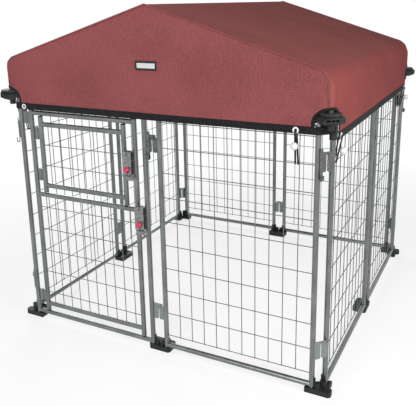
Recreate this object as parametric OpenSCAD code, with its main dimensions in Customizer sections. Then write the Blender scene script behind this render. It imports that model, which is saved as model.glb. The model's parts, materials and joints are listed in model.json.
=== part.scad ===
// Outdoor dog kennel run with a gabled fabric canopy, all sizes in millimetres
// Origin on the ground at the centre of the square pen, +X to the right, +Y to the back, +Z up

/* [Panels] */
// Distance between the two post centres of one panel
panel_w = 580; // [540:5:620]
// Distance between neighbouring post centres along one side
pair_gap = 62; // [58:1:70]
// Distance from the last post centre of a side to the corner point
corner_set = 36; // [34:1:40]
// Height of a panel post
post_h = 937; // [900:1:980]
// Outside diameter of the posts, rails and stiles
tube_d = 19; // [18:0.5:20]
// Wall thickness of the tubes
tube_wall = 1.2; // [0.8:0.1:2]
// Height of a rail's centre line from the post end
rail_inset = 11; // [10:0.5:14]
// Gap that the weld fills at the end of a tube or wire
weld_gap = 0.2; // [0.1:0.05:0.4]
// Flange thickness of the plug in a tube end
plug_t = 2; // [1.5:0.25:2.5]
// Depth of the plug inside the tube
plug_depth = 9; // [6:1:14]

/* [Wire mesh] */
// Diameter of the mesh wire
wire_d = 3; // [2.5:0.25:4]
// Height of the lowest wire above the post ends
wire_low = 54; // [45:1:65]
// Spacing of the horizontal wires
wire_pitch = 92.5; // [85:0.5:100]
// Wanted spacing of the upright wires
column_pitch = 51; // [45:1:58]
// Share of the wire diameter between crossing wire centres
wire_sink = 0.9; // [0.8:0.05:0.95]
// Length of an upright wire below the lowest cross wire
wire_stub = 4; // [2:0.5:8]

/* [Gate] */
// Clear gap between the hinge post and the gate stile
gate_hinge_gap = 34; // [30:1:40]
// Clear gap between the gate stile and the latch post
gate_latch_gap = 23.5; // [20:0.5:28]
// Height of the gate stile ends above the post ends
gate_sill = 25; // [24:0.5:30]
// Drop of the gate stile tops below the post tops
gate_head = 47; // [46:0.5:60]
// Height of the lower gate rail above the stile ends
gate_low_rail = 29.5; // [24:0.5:40]
// Height of the middle gate rail above the stile ends
gate_mid_rail = 520; // [480:5:560]
// Drop of the upper gate rail below the stile tops
gate_top_rail = 10; // [9.5:0.5:16]
// Wanted spacing of the upright wires in the gate
gate_column = 45.5; // [40:0.5:52]
// Spacing of the cross wires in the gate
gate_pitch = 95.5; // [85:0.5:100]

/* [Hatch] */
// Clear gap between the gate stile and the hatch stile at the hinges
hatch_hinge_gap = 25.5; // [24:0.5:30]
// Clear gap between the hatch stile and the gate stile at the latch
hatch_latch_gap = 29.5; // [26:0.5:34]
// Clear gap above the middle gate rail
hatch_sill = 5.5; // [4.5:0.5:9]
// Clear gap below the upper gate rail
hatch_head = 4.5; // [4.5:0.5:9]
// Height of the lower hatch rail above the stile ends
hatch_low_rail = 26.5; // [20:0.5:34]
// Drop of the upper hatch rail below the stile tops
hatch_top_rail = 30; // [20:0.5:40]
// Wanted spacing of the upright wires in the hatch
hatch_column = 54.5; // [48:0.5:60]
// Number of cross wires in the hatch
hatch_rows = 2; // [1:1:3]

/* [Hinges] */
// Height of one hinge
hinge_h = 48; // [40:1:60]
// Outside diameter of the knuckles
knuckle_d = 10; // [9:0.5:12]
// Diameter of the bore through the knuckles
hinge_bore = 5; // [4:0.25:6]
// Radial clearance of the pin in its bore
pin_clear = 0.05; // [0.02:0.01:0.1]
// Thickness of a hinge leaf
leaf_t = 3; // [2:0.25:4]
// Gap between knuckles and around them
knuckle_gap = 0.6; // [0.4:0.1:1]
// Diameter of the pin head
pin_head_d = 8; // [7:0.5:9]
// Thickness of the pin head
pin_head_t = 2; // [1:0.25:3]
// Distance of the lower gate hinge from the stile ends
gate_hinge_low = 40; // [35:1:70]
// Distance of the upper gate hinge from the stile tops
gate_hinge_top = 8; // [6:0.5:30]
// Distance of the hatch hinges from the stile ends
hatch_hinge_end = 44; // [40:1:70]

/* [Latches] */
// Width of the latch case
case_w = 38; // [34:1:44]
// Height of the latch case
case_h = 86; // [78:1:96]
// Depth of the latch case
case_d = 23; // [21:0.5:28]
// Sheet thickness of the latch case and strike
sheet_t = 2; // [1.5:0.25:2.5]
// Distance of the bolt from the open side of the case
bolt_in = 17; // [15:0.5:20]
// Diameter of the bolt
bolt_d = 9; // [8:0.5:10]
// Clearance around the bolt and its stem
bolt_clear = 0.4; // [0.3:0.05:0.6]
// Travel of the bolt from raised to dropped
bolt_travel = 12; // [10:0.5:13]
// Height of the knob in the case with the bolt raised
knob_z = 21; // [20:0.5:26]
// Diameter of the knob
knob_d = 20; // [16:0.5:24]
// Length of the knob
knob_t = 13; // [10:0.5:16]
// Diameter of the stem that carries the knob
stem_d = 6.5; // [5:0.25:7]
// Distance of the bolt from the edge of the jamb
bolt_to_jamb = 6.5; // [6:0.5:9]
// Gap between the case and the strike
strike_gap = 6; // [5:0.5:8]
// Width of the strike
strike_w = 32; // [28:1:36]
// Reach of the strike past the bolt on the door side
strike_edge = 10; // [8:0.5:11]
// Height of the strike's folded lip
strike_h = 15; // [12:0.5:18]
// Height of the gate latch case above the gate stile ends
gate_case_z = 458; // [430:1:480]
// Height of the hatch latch case above the hatch stile ends
hatch_case_z = 128; // [110:1:140]
// Diameter of the screw head on the case
screw_d = 9; // [7:0.5:10]
// Diameter of the screw shank
shank_d = 4; // [3:0.5:5]
// Distance of the screw below the top of the case
screw_drop = 10; // [8:0.5:12]
// Depth of the narrow waist around the knob
knob_waist = 2; // [1:0.25:3]

/* [Connectors] */
// Height of a connector's staple plate
staple_h = 56; // [48:1:64]
// Thickness of the connector plates
staple_t = 3; // [2:0.25:4]
// Clear gap between a staple plate and its hook plate
staple_gap = 4; // [3:0.25:6]
// Size of the nipped lower corners of a connector plate
plate_nip = 4; // [2:0.5:6]
// Share of a staple plate's width that the hook reaches over
hook_share = 0.7; // [0.6:0.05:0.9]
// Share of a staple plate's width behind the hook's lip
lip_share = 0.3; // [0.2:0.05:0.4]
// Height of a hook's arm
arm_h = 9; // [7:0.5:12]
// Height of the lower connectors above the post ends
lower_z = 113; // [90:1:140]
// Drop of the upper connectors below the post tops
upper_drop = 163; // [150:1:190]
// Length of the strap in front of an upper connector
strap_l = 96; // [85:1:105]
// Distance of the strap's lower end below the staple plate
strap_drop = 20; // [15:0.5:25]
// Width of a strap between the panels of a side
strap_w = 14; // [12:0.5:16]
// Width of a strap at a corner
corner_strap_w = 10; // [8:0.5:14]
// Inside radius of the curl at the strap's lower end
curl_r = 3.5; // [3:0.25:5]
// Length of the strap's turned up end
curl_up = 12; // [8:0.5:16]

/* [Feet] */
// Thickness of the foot under the posts
foot_pad = 18; // [16:0.5:19]
// Full thickness of the foot plate
foot_t = 20; // [19.5:0.5:22]
// Length of a foot along the side
foot_l = 92; // [88:1:96]
// Reach of a foot outside the post line
foot_out = 12; // [11.5:0.5:14]
// Reach of a foot inside the post line
foot_in = 45; // [40:1:55]
// Reach of a corner foot past the corner point
foot_side = 33; // [28:1:36]
// Half width of the leg of a corner foot
foot_leg = 20; // [18:0.5:22]
// Corner radius of the foot plate
foot_r = 7; // [4:0.5:9]
// Height of the clip beside a post
clip_z = 52; // [46:1:56]
// Reach of the clip's lips outside the post line
clip_lip = 3; // [1:0.5:5]
// Wall of the clip beside a post
clip_wall = 4; // [3:0.25:5]
// Clearance around a post in its foot or bracket
post_clear = 0.3; // [0.2:0.05:0.5]
// Outside diameter of a stake tube
stake_d = 17; // [15:0.5:18]
// Bore of a stake tube
stake_bore = 10.5; // [9:0.5:12]
// Height of a corner stake tube above the foot plate
stake_h = 24; // [18:1:30]
// Height of a middle stake tube above the foot plate
mid_stake_h = 16; // [12:1:24]
// Spacing of the two stake tubes of a foot
stake_pitch = 21; // [20:0.5:23]
// Setback of a corner stake tube from the corner point along the side
stake_set = 13; // [12:0.5:15]
// Reach of a corner stake tube outside the post line
stake_out = 3; // [2:0.5:4]

/* [Roof frame] */
// Outside diameter of the roof bows
bow_d = 16; // [14:0.5:18]
// Wall thickness of the bows and the ridge pole
bow_wall = 1.2; // [0.8:0.1:2]
// Growth of a tube's diameter where it is bent
bend_swell = 0.4; // [0.2:0.05:0.5]
// Outside diameter of the ridge pole
ridge_d = 14; // [12:0.5:15]
// Outside radius of the bow sleeves of the ridge connector
tee_r = 9.6; // [9.4:0.1:10]
// Length of the sleeves of the ridge connector
tee_l = 55; // [40:1:70]
// Distance from the ridge connector's centre to the tube ends in it
tee_core = 14; // [13:0.5:18]
// Outside radius of the ridge connector's hub and pole sleeve
tee_hub = 10.6; // [10.5:0.1:11.5]
// Clearance of a tube in its socket
socket_clear = 0.15; // [0.1:0.05:0.3]
// Clearance between the fabric and the frame under it
cloth_clear = 0.8; // [0.7:0.1:1.5]
// Reach of the bracket housing outside the corner point
house_out = 45; // [40:1:48]
// Reach of the bracket housing inside the corner point
house_in = 38; // [37.7:0.1:42]
// Height of the bracket housing above the posts
house_h = 17; // [15:0.5:18]
// Half width of the bracket housing
house_w = 42; // [38.5:0.5:42]
// Height of the housing's ends above the posts
house_end = 3; // [2:0.5:5]
// Half width of the housing's shoulders
shoulder_w = 34; // [32:0.5:36]
// Height of the housing's shoulders above the posts
shoulder_h = 13; // [10:0.5:14]
// Half width of the housing's flat top
crown_w = 24; // [20:0.5:28]
// Depth of the housing's skirt in front of the posts
skirt_h = 12; // [8:0.5:13]
// Setback of the skirt from the corner point
skirt_in = 12; // [10:0.5:13]
// Reach of the skirt's lower edge outside the corner point
skirt_out = 10; // [6:0.5:14]
// Half width of the skirt's lower edge
skirt_w = 26; // [20:0.5:30]
// Half width of the front of the housing's nose
nose_w = 24; // [18:0.5:30]
// Depth of the cut corners of the nose
nose_set = 20; // [14:0.5:24]
// Height of the lower edge of the housing's nose above the posts
nose_z = 2; // [0:0.5:3]
// Depth of the pockets in the housing's nose
pocket_d = 15; // [10:0.5:18]
// Height of the pockets in the nose
pocket_h = 6.5; // [5:0.25:7]
// Width of a pocket
pocket_w = 11.5; // [10:0.25:12]
// Number of pockets
pocket_count = 3; // [2:1:4]
// Wall thickness round the pockets
pocket_wall = 2.5; // [2:0.25:3]
// Length of the bracket sleeve down the post
sleeve_l = 66; // [55:1:75]
// Outside radius of the bracket sleeve
sleeve_r = 12; // [11.5:0.1:12.2]
// Outside radius of the bracket's bow socket
socket_r = 11; // [10.5:0.25:12]
// Depth of the bow socket below the post tops
socket_low = 30; // [25:1:34]
// Height of the bow socket above the housing
socket_up = 8; // [4:1:14]
// Floor thickness of the bow socket
socket_floor = 3; // [2:0.5:5]
// Thickness of the bracket's web between the posts
web_t = 6; // [4:0.5:8]
// Depth of the web's lower edge below the post tops
web_low = 40; // [34:1:46]
// Height of the web
web_h = 22; // [14:1:26]

/* [Canopy] */
// Fabric thickness
cloth_t = 1.5; // [1:0.1:2]
// Clearance between the posts and the fabric
cloth_gap = 3; // [2.8:0.1:6]
// Drop of the canopy's side hem below the post tops
side_hem_drop = 67; // [57:1:77]
// Drop of the canopy's front and back hem below the post tops
gable_hem_drop = 43; // [37:1:44]
// Height of the hem band
hem_h = 25; // [22:1:28]
// Thickness of the hem band
hem_t = 2; // [1.5:0.1:2.5]
// Height of the ridge above the post tops
ridge_up = 352; // [300:1:390]
// Height of the sharp eave line above the post tops
eave_up = 144; // [120:1:160]
// Radius of the rounded eave
eave_r = 65; // [50:1:75]
// Number of flats around the rounded eave
eave_steps = 14; // [8:1:20]
// Top height of the corner cut-out above the post tops
arch_up = 39; // [33:1:48]
// Half width of the corner cut-out across the diagonal
arch_w = 45; // [44.5:0.5:50]
// Width of the binding around the corner cut-out
bind_w = 8; // [5:0.5:12]
// Thickness of the piping at the gable edge
piping_t = 2.5; // [2:0.25:4]
// Width of the piping at the gable edge
piping_w = 6; // [4:0.5:8]
// Width of the bare label patch
label_w = 88; // [70:1:110]
// Height of the bare label patch
label_h = 33; // [25:1:45]
// Height of the label patch's lower edge above the post tops
label_up = 131; // [100:1:160]
// Thickness of the label patch
label_t = 1; // [0.8:0.1:1.5]

/* [Ties] */
// Outside diameter of a grommet
grommet_d = 21; // [19:0.5:22]
// Bore of a grommet
grommet_bore = 9; // [8.5:0.25:10]
// Flange thickness of a grommet
grommet_t = 1; // [0.8:0.1:1.2]
// Wall of the grommet's neck
grommet_wall = 1; // [0.8:0.1:1.5]
// Height of a grommet above the lower edge of its hem
grommet_up = 11; // [10.5:0.25:13]
// Diameter of the elastic cord
cord_d = 3.6; // [3:0.1:3.8]
// Distance between the two cords of a tie
cord_pair = 4.3; // [4.1:0.05:4.6]
// Clearance of the cord around the hem and the wire
cord_clear = 0.15; // [0.1:0.05:0.3]
// Extra bend radius of the cord around the hem
cord_ease = 1.1; // [1:0.1:2]
// Loss of the cord's diameter where it is stretched between its bends
cord_thin = 0.15; // [0.1:0.01:0.2]
// Diameter of the ball on a tie
ball_d = 25; // [22:0.5:28]
// Drop of the ball below the grommet
ball_drop = 46; // [38:1:52]
// Shift of the front right tie towards the middle of its side
front_tie_set = 34; // [30:1:38]
// Number of the wire row that a tie hooks onto, counted down from the top row
tie_row = 1; // [1:1:2]

/* [Hidden] */
$fn = 48;
cut = 1;
tube_r = tube_d / 2;
face = corner_set + panel_w + pair_gap / 2;
post_in = pair_gap / 2;
post_out = post_in + panel_w;
post_top = foot_pad + post_h;
rail_low_z = foot_pad + rail_inset;
rail_top_z = post_top - rail_inset;
wire_z = foot_pad + wire_low;
upper_z = post_h - upper_drop;
side_hem_z = post_top - side_hem_drop;
gable_hem_z = post_top - gable_hem_drop;
ridge_z = post_top + ridge_up;
eave_z = post_top + eave_up;
arch_z = post_top + arch_up;
label_z = post_top + label_up;
rows = floor((rail_top_z - tube_d - wire_z) / wire_pitch) + 1;
columns = round((panel_w - tube_d) / column_pitch);
column = (panel_w - tube_d) / columns;

gate_left = -post_out + tube_d + gate_hinge_gap;
gate_right = -post_in - tube_d - gate_latch_gap;
gate_low = foot_pad + gate_sill;
gate_high = post_top - gate_head;
gate_rail_low = gate_low + gate_low_rail;
gate_rail_mid = gate_low + gate_mid_rail;
gate_rail_top = gate_high - gate_top_rail;
gate_axis = -post_out + tube_r + gate_hinge_gap / 2;
gate_reach = gate_hinge_gap / 2 - weld_gap;

hatch_left = gate_left + tube_d + hatch_hinge_gap;
hatch_right = gate_right - tube_d - hatch_latch_gap;
hatch_low = gate_rail_mid + tube_r + hatch_sill;
hatch_high = gate_rail_top - tube_r - hatch_head;
hatch_rail_low = hatch_low + hatch_low_rail;
hatch_rail_top = hatch_high - hatch_top_rail;
hatch_axis = gate_left + tube_r + hatch_hinge_gap / 2;
hatch_reach = hatch_hinge_gap / 2 - weld_gap;

knuckle_h = (hinge_h - 2 * knuckle_gap) / 3;
case_back = -tube_r - weld_gap;
case_front = case_back - case_d;
bolt_y = case_back - case_d / 2;
bolt_top = case_h - bolt_travel - 2 * sheet_t;
guide_z = bolt_top - bolt_travel - 3 * sheet_t;
gate_bolt_x = -post_in - tube_r - bolt_to_jamb;
hatch_bolt_x = gate_right - tube_r - bolt_to_jamb;
gate_bolt_z = gate_low + gate_case_z;
hatch_bolt_z = hatch_low + hatch_case_z;

corner_gap = corner_set * sqrt(2);
mid_reach = pair_gap / 2 - tube_r - weld_gap;
plate_out = tube_r + weld_gap + staple_t / 2;
canopy_x = face + tube_r + cloth_gap + cloth_t;
slope = atan2(ridge_z - eave_z, canopy_x);
hem_x = canopy_x + hem_t;
bow_inset = cloth_t + cloth_clear + tee_hub;
bow_x = canopy_x - bow_inset;
bow_bend = eave_r - bow_inset;
bow_eave_z = eave_z - bow_inset * tan(45 - slope / 2);
bow_tangent = bow_bend * tan(45 - slope / 2);
bow_ridge_z = bow_eave_z + bow_x * tan(slope);
bow_slope_l = bow_x / cos(slope) - bow_tangent - tee_core;
house_z = post_top + plug_t + weld_gap;
rail_room = tube_r + 2 * post_clear;
tie_x = post_out - tube_r - column / 2;
front_tie_x = tie_x - front_tie_set;
tie_z = wire_z + (rows - 1 - tie_row) * wire_pitch;
cord_r = cord_d / 2;
cord_lap = cord_thin * 2;
cord_low_r = wire_d / 2 + cord_r + cord_clear;
cord_top_r = (cloth_t + hem_t) / 2 + grommet_t + cord_r + cord_ease;
cord_top_y = (canopy_x - cloth_t + hem_x) / 2;

// Places a piece of the front side on side number k, counted anticlockwise from the front
module on_side(k) {
    rotate([0, 0, 90 * k]) children();
}

// Hollow upright tube standing on the origin
module tube(l, d = tube_d, wall = tube_wall) {
    difference() {
        cylinder(h = l, d = d);
        translate([0, 0, -cut]) cylinder(h = l + 2 * cut, d = d - 2 * wall);
    }
}

// Rail along X whose ends are coped to fit round the uprights at both ends
module coped_rail(span) {
    difference() {
        rotate([0, 90, 0]) tube(span);
        for (x = [0, span]) {
            translate([x, 0, -tube_d]) cylinder(h = 2 * tube_d, d = tube_d + 2 * weld_gap);
        }
    }
}

// Welded frame of two uprights and the rails at the listed heights
module tube_frame(left, right, low, high, rails) {
    for (x = [left, right]) {
        translate([x, 0, low]) tube(high - low);
    }
    for (z = rails) {
        translate([left, 0, z]) coped_rail(right - left);
    }
}

// Plug in a tube end, flange upwards
module plug() {
    cylinder(h = plug_t, d = tube_d);
    translate([0, 0, -plug_depth])
        cylinder(h = plug_depth + plug_t / 2, d = tube_d - 2 * tube_wall - 2 * weld_gap);
}

// Spot-welded wires: cross wires at the listed heights, uprights at the listed places
module wire_grid(left, right, low, high, heights, places) {
    for (z = heights) {
        translate([left, 0, z]) rotate([0, 90, 0]) cylinder(h = right - left, d = wire_d);
    }
    for (x = places) {
        translate([x, wire_d * wire_sink, low]) cylinder(h = high - low, d = wire_d);
    }
}

module panel_frame(left) {
    translate([0, -face, 0])
        tube_frame(left, left + panel_w, foot_pad, post_top, [rail_low_z, rail_top_z]);
}

module panel_mesh(left) {
    edge = tube_r + weld_gap;
    heights = [for (i = [0 : rows - 1]) wire_z + i * wire_pitch];
    places = [for (i = [1 : columns - 1]) left + tube_r + i * column];
    translate([0, -face, 0])
        wire_grid(left + edge, left + panel_w - edge, wire_z - wire_stub, rail_top_z - edge,
            heights, places);
}

// Places spaced evenly by the wanted pitch and centred between two ends
function centred(low, high, pitch) =
    let (n = round((high - low) / pitch))
    [for (i = [0 : n - 1]) (low + high) / 2 + (i - (n - 1) / 2) * pitch];

module gate_tubes() {
    translate([0, -face, 0])
        tube_frame(gate_left, gate_right, gate_low, gate_high,
            [gate_rail_low, gate_rail_mid, gate_rail_top]);
}

module gate_wires() {
    edge = tube_r + weld_gap;
    heights = centred(gate_rail_low, gate_rail_mid, gate_pitch);
    places = centred(gate_left + tube_r, gate_right - tube_r, gate_column);
    translate([0, -face, 0])
        wire_grid(gate_left + edge, gate_right - edge, gate_rail_low + edge, gate_rail_mid - edge,
            heights, places);
}

module hatch_tubes() {
    translate([0, -face, 0])
        tube_frame(hatch_left, hatch_right, hatch_low, hatch_high, [hatch_rail_low, hatch_rail_top]);
}

module hatch_wires() {
    edge = tube_r + weld_gap;
    step = (hatch_rail_top - hatch_rail_low) / (hatch_rows + 1);
    heights = [for (i = [1 : hatch_rows]) hatch_rail_low + i * step];
    places = centred(hatch_left + tube_r, hatch_right - tube_r, hatch_column);
    translate([0, -face, 0])
        wire_grid(hatch_left + edge, hatch_right - edge, hatch_rail_low + edge, hatch_rail_top - edge,
            heights, places);
}

// Plugs at both ends of two stiles
module stile_plugs(left, right, low, high) {
    for (x = [left, right]) {
        translate([x, -face, high]) plug();
        translate([x, -face, low]) mirror([0, 0, 1]) plug();
    }
}

// Hinge leaf with two knuckles, welded to the upright on the left
module fixed_leaf(reach) {
    spine = knuckle_d / 2 + knuckle_gap;
    difference() {
        union() {
            for (z = [0, 2 * (knuckle_h + knuckle_gap)]) {
                translate([0, 0, z]) cylinder(h = knuckle_h, d = knuckle_d);
                translate([-reach, -leaf_t / 2, z]) cube([reach, leaf_t, knuckle_h]);
            }
            translate([-reach, -leaf_t / 2, 0]) cube([reach - spine, leaf_t, hinge_h]);
        }
        translate([0, 0, -cut]) cylinder(h = hinge_h + 2 * cut, d = hinge_bore);
    }
}

// Hinge leaf with the middle knuckle, welded to the door's stile on the right
module moving_leaf(reach) {
    spine = knuckle_d / 2 + knuckle_gap;
    middle = knuckle_h + knuckle_gap;
    difference() {
        union() {
            translate([0, 0, middle]) cylinder(h = knuckle_h, d = knuckle_d);
            translate([0, -leaf_t / 2, middle]) cube([reach, leaf_t, knuckle_h]);
            translate([spine, -leaf_t / 2, 0]) cube([reach - spine, leaf_t, hinge_h]);
        }
        translate([0, 0, -cut]) cylinder(h = hinge_h + 2 * cut, d = hinge_bore);
    }
}

module hinge_pin() {
    cylinder(h = hinge_h + pin_head_t / 2, d = hinge_bore - 2 * pin_clear);
    translate([0, 0, hinge_h + pin_clear]) cylinder(h = pin_head_t, d = pin_head_d);
}

module at_gate_hinges() {
    for (z = [gate_low + gate_hinge_low, gate_high - gate_hinge_top - hinge_h]) {
        translate([gate_axis, -face, z]) children();
    }
}

module at_hatch_hinges() {
    for (z = [hatch_low + hatch_hinge_end, hatch_high - hatch_hinge_end - hinge_h]) {
        translate([hatch_axis, -face, z]) children();
    }
}

module at_gate_latch() {
    translate([gate_bolt_x, -face, gate_bolt_z]) children();
}

module at_hatch_latch() {
    translate([hatch_bolt_x, -face, hatch_bolt_z]) children();
}

// Folded case, open on the latch side, with a flange that reaches the stile
module latch_case(reach) {
    left = bolt_in - case_w;
    stem_w = stem_d + 2 * bolt_clear;
    difference() {
        union() {
            translate([left, case_front, 0]) cube([case_w, case_d, case_h]);
            translate([-reach, case_back - sheet_t, 0]) cube([reach, sheet_t, case_h]);
        }
        translate([left + sheet_t, case_front + sheet_t, sheet_t])
            cube([case_w, case_d - 2 * sheet_t, guide_z - sheet_t]);
        translate([left + sheet_t, case_front + sheet_t, guide_z + sheet_t])
            cube([case_w, case_d - 2 * sheet_t, case_h - guide_z - 2 * sheet_t]);
        translate([0, bolt_y, -cut]) cylinder(h = guide_z + 2 * sheet_t, d = bolt_d + 2 * bolt_clear);
        translate([-stem_w / 2, case_front - cut, knob_z - bolt_travel - stem_w / 2])
            cube([stem_w, sheet_t + 2 * cut, bolt_travel + stem_w]);
        translate([left + case_w / 2, case_front - cut, case_h - screw_drop])
            rotate([-90, 0, 0]) cylinder(h = sheet_t + 2 * cut, d = shank_d + 2 * socket_clear);
    }
}

// Bolt with the stem that carries the knob
module latch_bolt() {
    tip = cut - strike_gap;
    translate([0, bolt_y, tip]) cylinder(h = bolt_top - tip, d = bolt_d);
    translate([0, bolt_y, knob_z]) rotate([90, 0, 0])
        cylinder(h = bolt_y - case_front + knob_t / 2, d = stem_d);
}

module latch_knob() {
    r = knob_d / 2;
    translate([0, case_front - cut, knob_z]) rotate([90, 0, 0]) difference() {
        rotate_extrude()
            polygon([[0, 0], [r - knob_waist, 0], [r, knob_waist], [r - knob_waist, knob_t / 2],
                [r, knob_t - 2 * knob_waist], [r - knob_waist, knob_t], [0, knob_t]]);
        translate([0, 0, -cut]) cylinder(h = knob_t / 2 + cut, d = stem_d + 2 * socket_clear);
    }
}

// Folded strike on the jamb with the hole that the bolt drops into
module latch_strike() {
    right = strike_w - strike_edge;
    difference() {
        union() {
            translate([-strike_edge, case_front, -strike_gap - 2 * sheet_t])
                cube([strike_w, case_d, 2 * sheet_t]);
            translate([-strike_edge, case_front, -strike_gap - strike_h])
                cube([strike_w, sheet_t, strike_h]);
            translate([bolt_to_jamb, case_back - sheet_t, -strike_gap - strike_h])
                cube([right - bolt_to_jamb, sheet_t, strike_h]);
        }
        translate([0, bolt_y, -strike_gap - strike_h]) cylinder(h = strike_h + cut, d = bolt_d + 2 * cut);
    }
}

// Pan head screw with a cross slot
module latch_screw() {
    left = bolt_in - case_w;
    slot = shank_d / 4;
    translate([left + case_w / 2, case_front - socket_clear, case_h - screw_drop]) rotate([90, 0, 0]) {
        difference() {
            cylinder(h = sheet_t, d = screw_d);
            for (a = [0, 90]) {
                rotate([0, 0, a]) translate([-screw_d / 3, -slot / 2, sheet_t / 2])
                    cube([2 * screw_d / 3, slot, sheet_t]);
            }
        }
        translate([0, 0, -3 * sheet_t]) cylinder(h = 3 * sheet_t + sheet_t / 4, d = shank_d);
    }
}

// Places a connector between each pair of neighbouring posts, along the sides and across the corners
module at_pairs(z) {
    for (k = [0 : 3]) {
        on_side(k) translate([0, -face, z]) children(0);
        on_side(k) translate([face - corner_set / 2, corner_set / 2 - face, z])
            rotate([0, 0, 45]) children(1);
    }
}

// Plate of a connector with nipped lower corners, from the middle of a pair of posts to the right
module plate(reach, tall) {
    low = staple_gap / 2;
    translate([0, staple_t / 2, 0]) rotate([90, 0, 0]) linear_extrude(height = staple_t)
        polygon([[low, plate_nip], [low + plate_nip, 0], [reach - plate_nip, 0], [reach, plate_nip],
            [reach, tall], [low, tall]]);
}

// Hook plate on the post on the left, with an arm and lip over the staple plate
module hook(reach) {
    low = staple_gap / 2;
    wide = reach - low;
    lip_y = -staple_t - staple_t / 2 - 2 * weld_gap;
    mirror([1, 0, 0]) plate(reach, staple_h + arm_h);
    translate([-low - wide / 2, -staple_t / 2, staple_h + weld_gap])
        cube([2 * low + wide / 2 + wide * hook_share, staple_t, arm_h - weld_gap]);
    translate([low + weld_gap, lip_y, staple_h + weld_gap])
        cube([wide * lip_share, staple_t * 2, arm_h - weld_gap]);
    translate([low + weld_gap, lip_y, staple_h - arm_h])
        cube([wide * lip_share, staple_t, 2 * arm_h]);
}

// Strap in front of an upper hook, curled up at its lower end
module strap(left, back, wide) {
    front = back - staple_t;
    translate([left, front, -strap_drop]) cube([wide, staple_t, strap_l]);
    translate([left, front - curl_r, -strap_drop]) rotate([0, 90, 0]) rotate([0, 0, -90])
        rotate_extrude(angle = 180) translate([curl_r, 0]) square([staple_t, wide]);
    translate([left, front - 2 * curl_r - staple_t, -strap_drop]) cube([wide, staple_t, curl_up]);
}

// Clip behind a post above the foot plate, open to the outside
module post_clip() {
    r = tube_r + post_clear + clip_wall;
    difference() {
        translate([0, 0, foot_t - cut]) cylinder(h = clip_z - foot_t + cut, r = r);
        translate([-2 * r, -2 * r - clip_lip, 0]) cube([4 * r, 2 * r, clip_z + cut]);
    }
}

// Room for a post and for the rail that leaves it along +X
module post_room() {
    translate([0, 0, foot_pad]) cylinder(h = post_h, r = tube_r + post_clear);
    translate([0, -rail_room, rail_low_z - rail_room]) cube([foot_l, 2 * rail_room, clip_z]);
}

module stake_tube(tall) {
    cylinder(h = foot_t + tall, d = stake_d);
}

module stake_hole() {
    translate([0, 0, -cut]) cylinder(h = foot_t + stake_h + 2 * cut, d = stake_bore);
}

// Foot shared by the two posts in the middle of a side
module mid_foot() {
    x = foot_l / 2;
    difference() {
        union() {
            linear_extrude(height = foot_t)
                polygon([[-x + foot_r, -foot_out], [x - foot_r, -foot_out], [x, foot_r - foot_out],
                    [x, foot_in - foot_r], [x - foot_r, foot_in], [foot_r - x, foot_in],
                    [-x, foot_in - foot_r], [-x, foot_r - foot_out]]);
            for (s = [-1, 1]) {
                translate([s * post_in, 0, 0]) post_clip();
                translate([s * stake_pitch / 2, 0, 0]) stake_tube(mid_stake_h);
            }
        }
        translate([post_in, 0, 0]) post_room();
        translate([-post_in, 0, 0]) mirror([1, 0, 0]) post_room();
        for (s = [-1, 1]) {
            translate([s * stake_pitch / 2, 0, 0]) stake_hole();
        }
    }
}

// Foot shared by the two posts at a corner, drawn from the corner point of the front right corner
module corner_foot() {
    far = foot_l - foot_side;
    difference() {
        union() {
            linear_extrude(height = foot_t)
                polygon([[-far, -foot_out], [foot_side - foot_r, -foot_out], [foot_side, foot_r - foot_out],
                    [foot_side, foot_out], [foot_leg, foot_leg], [foot_leg, far], [-foot_leg, far],
                    [-foot_leg, foot_leg], [-far, foot_leg]]);
            translate([-corner_set, 0, 0]) post_clip();
            translate([0, corner_set, 0]) rotate([0, 0, 90]) post_clip();
            translate([-stake_set, -stake_out, 0]) stake_tube(stake_h);
            translate([stake_out, stake_set, 0]) stake_tube(stake_h);
        }
        translate([-corner_set, 0, 0]) mirror([1, 0, 0]) post_room();
        translate([0, corner_set, 0]) rotate([0, 0, 90]) post_room();
        translate([-stake_set, -stake_out, 0]) stake_hole();
        translate([stake_out, stake_set, 0]) stake_hole();
    }
}

// Repeats a piece of the front right corner at all four corners
module at_corners() {
    for (sx = [0, 1]) {
        for (sy = [0, 1]) {
            mirror([sx, 0, 0]) mirror([0, sy, 0]) children();
        }
    }
}

// Housing over the two posts of a corner, drawn outwards along +X from the corner point
module bracket_house() {
    difference() {
        intersection() {
            translate([0, house_w + cut, 0]) rotate([90, 0, 0]) linear_extrude(height = 2 * (house_w + cut))
                polygon([[-house_in, 0], [-skirt_in, 0], [-skirt_in, -skirt_h], [skirt_out, -skirt_h],
                    [house_out, nose_z], [house_out, house_h + cut], [-house_in, house_h + cut]]);
            translate([-house_in - cut, 0, 0]) rotate([90, 0, 90])
                linear_extrude(height = house_in + house_out + 2 * cut)
                polygon([[-skirt_w, -skirt_h - cut], [skirt_w, -skirt_h - cut], [house_w, -cut],
                    [house_w, house_end], [shoulder_w, shoulder_h], [crown_w, house_h],
                    [-crown_w, house_h], [-shoulder_w, shoulder_h], [-house_w, house_end],
                    [-house_w, -cut]]);
            translate([0, 0, -skirt_h - cut]) linear_extrude(height = skirt_h + house_h + 2 * cut)
                polygon([[-house_in - cut, -house_w - cut], [house_out - nose_set, -house_w - cut],
                    [house_out + cut, -nose_w], [house_out + cut, nose_w],
                    [house_out - nose_set, house_w + cut], [-house_in - cut, house_w + cut]]);
        }
        for (i = [0 : pocket_count - 1]) {
            translate([house_out - pocket_d, i * (pocket_w + pocket_wall) - shoulder_w, nose_z + pocket_wall])
                cube([pocket_d + cut, pocket_w, pocket_h]);
        }
    }
}

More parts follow.
